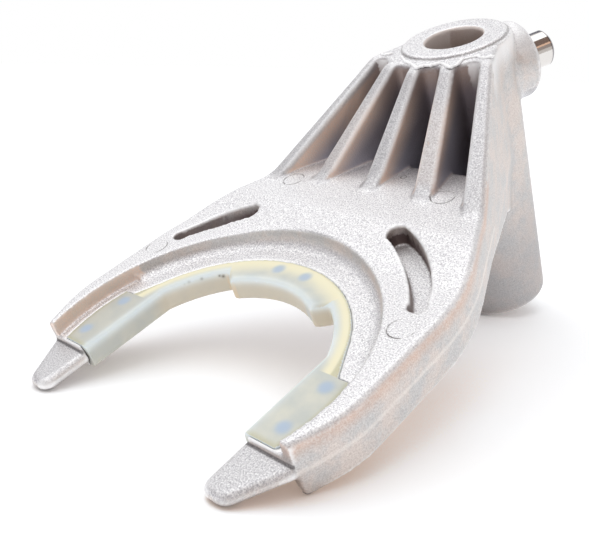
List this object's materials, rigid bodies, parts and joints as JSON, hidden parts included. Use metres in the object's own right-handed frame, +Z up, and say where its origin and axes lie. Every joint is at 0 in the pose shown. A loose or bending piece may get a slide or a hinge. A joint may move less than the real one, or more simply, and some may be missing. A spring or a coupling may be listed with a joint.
{
  "type": "transfer case shift fork",
  "caption": "Cast shift fork: a long rail barrel, a fan of ribs, two curved arms with a moulded wear pad round the mouth, and a side pin.",
  "frame": {"origin": "on the floor under the middle of the fork's box, as it lies at rest on both tongues and the barrel's lower rim", "axes": "+Z up, +Y from the tongues toward the rail barrel, +X toward the side pin; the plate is tilted 23.8 degrees nose down"},
  "size_m": [0.0942, 0.1588, 0.0898],
  "materials": {
    "cast_metal": "as-cast, fine blasted grain",
    "pad_nylon": "natural moulded nylon, faintly translucent",
    "pin_steel": "ground and polished"
  },
  "bodies": {
    "root": {"fork_casting": "cast_metal", "wear_pad": "pad_nylon", "follower_pin": "pin_steel"}
  },
  "joints": []
}
